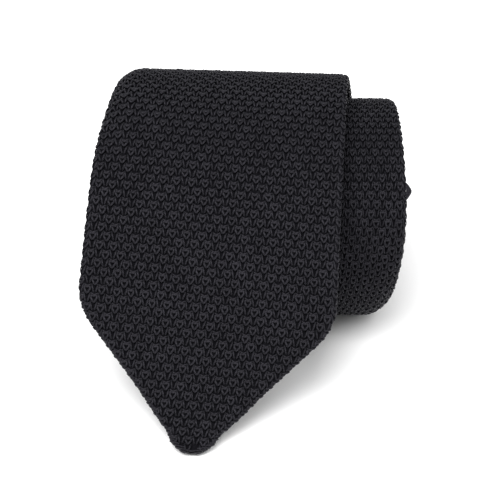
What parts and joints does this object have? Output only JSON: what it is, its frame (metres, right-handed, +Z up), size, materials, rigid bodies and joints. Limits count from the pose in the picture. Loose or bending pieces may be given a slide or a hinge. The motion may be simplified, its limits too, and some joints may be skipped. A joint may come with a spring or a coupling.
{
  "type": "knitted necktie",
  "caption": "Dark knitted necktie with a pointed blade, wound into a roll with the blade's free end hanging over the front.",
  "frame": {"origin": "middle of the footprint, on the surface the roll rests on", "axes": "+Z up, +X along the roll from its open end to the telescoped end, the blade's point towards -Y"},
  "size_m": [0.103, 0.1282, 0.0809],
  "materials": {
    "knit": "coarse cross-tuck knit, charcoal black, soft sheen",
    "interlining": "brushed wool felt",
    "satin": "black satin weave",
    "thread": "twisted sewing thread",
    "label": "blank woven tape"
  },
  "bodies": {
    "roll": {"turn_knit": "knit", "turn_interlining": "interlining"},
    "wrap": {"wrap_knit": "knit", "wrap_interlining": "interlining", "keeper_loop": "satin", "label": "label", "care_tag": "label", "back_seam": "thread"},
    "flap": {"flap_knit": "knit", "flap_interlining": "interlining", "blade_bar_tack": "thread"},
    "point": {"point_knit": "knit", "point_interlining": "interlining", "blade_tipping": "satin"},
    "core": {"inner_blade_knit": "knit", "neck_knit": "knit", "tail_knit": "knit", "inner_interlining": "interlining", "tail_interlining": "interlining", "tail_tipping": "satin", "tail_bar_tack": "thread", "blade_neck_seam": "thread", "tail_neck_seam": "thread"}
  },
  "joints": [
    {"name": "wrap_open", "type": "hinge", "parent": "roll", "child": "wrap", "pos_m": [0, 0.05409, 0.01263], "axis": [-1, 0, 0], "range_deg": [0, 75]},
    {"name": "blade_lift", "type": "hinge", "parent": "wrap", "child": "flap", "pos_m": [0, 0.00555, 0.07799], "axis": [-1, 0, 0], "range_deg": [0, 130]},
    {"name": "point_curl", "type": "hinge", "parent": "flap", "child": "point", "pos_m": [0, -0.03048, 0.04365], "axis": [-1, 0, 0], "range_deg": [0, 120]},
    {"name": "core_slide", "type": "slide", "parent": "roll", "child": "core", "axis": [1, 0, 0], "range_m": [-0.012, 0.015]}
  ]
}
